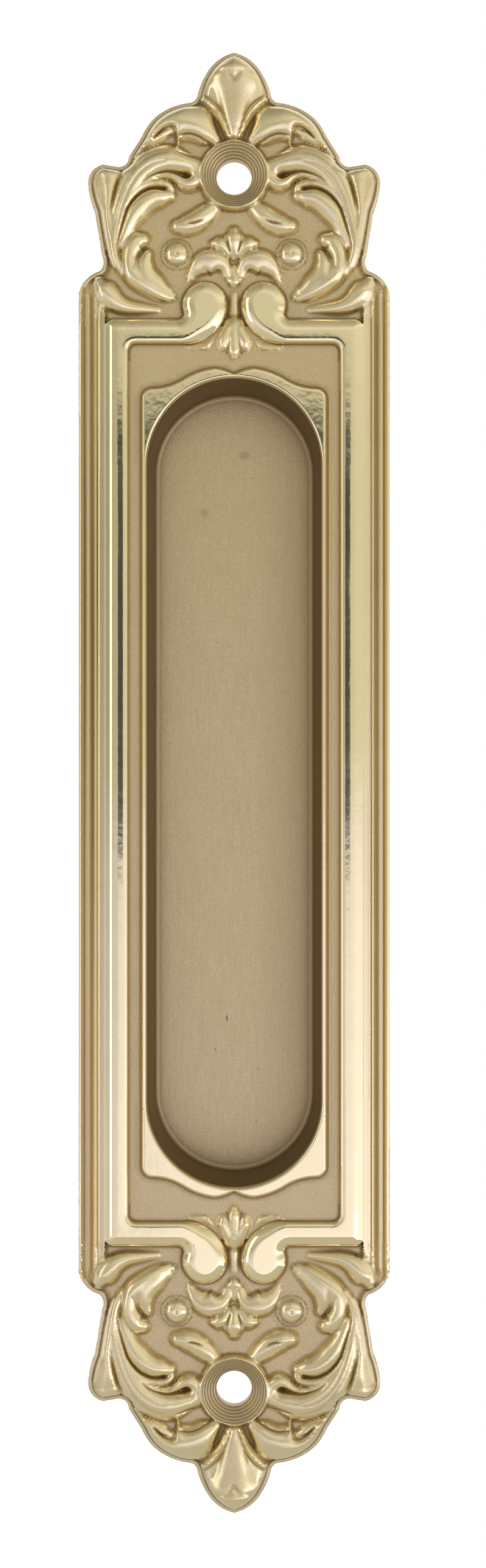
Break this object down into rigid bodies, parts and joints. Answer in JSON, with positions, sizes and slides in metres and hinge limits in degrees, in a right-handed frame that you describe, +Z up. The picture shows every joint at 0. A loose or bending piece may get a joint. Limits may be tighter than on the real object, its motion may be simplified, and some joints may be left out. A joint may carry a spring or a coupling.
{
  "type": "pocket door pull",
  "caption": "Cast brass pull plate for a sliding pocket door: a long finger cup framed by scrolled mouldings, with leaf-carved crests and countersunk screw holes at the ends.",
  "frame": {"origin": "middle of the two screw holes, on the flat back face that lies against the door", "axes": "+Z up along the plate, +X to the right as seen from the front, the front faces -Y and the finger cup sinks into the door along +Y"},
  "size_m": [0.049, 0.0156, 0.23],
  "materials": {
    "brass": "polished on the high points, satin in the recesses"
  },
  "bodies": {
    "root": {"door_pull": "brass"}
  },
  "joints": []
}
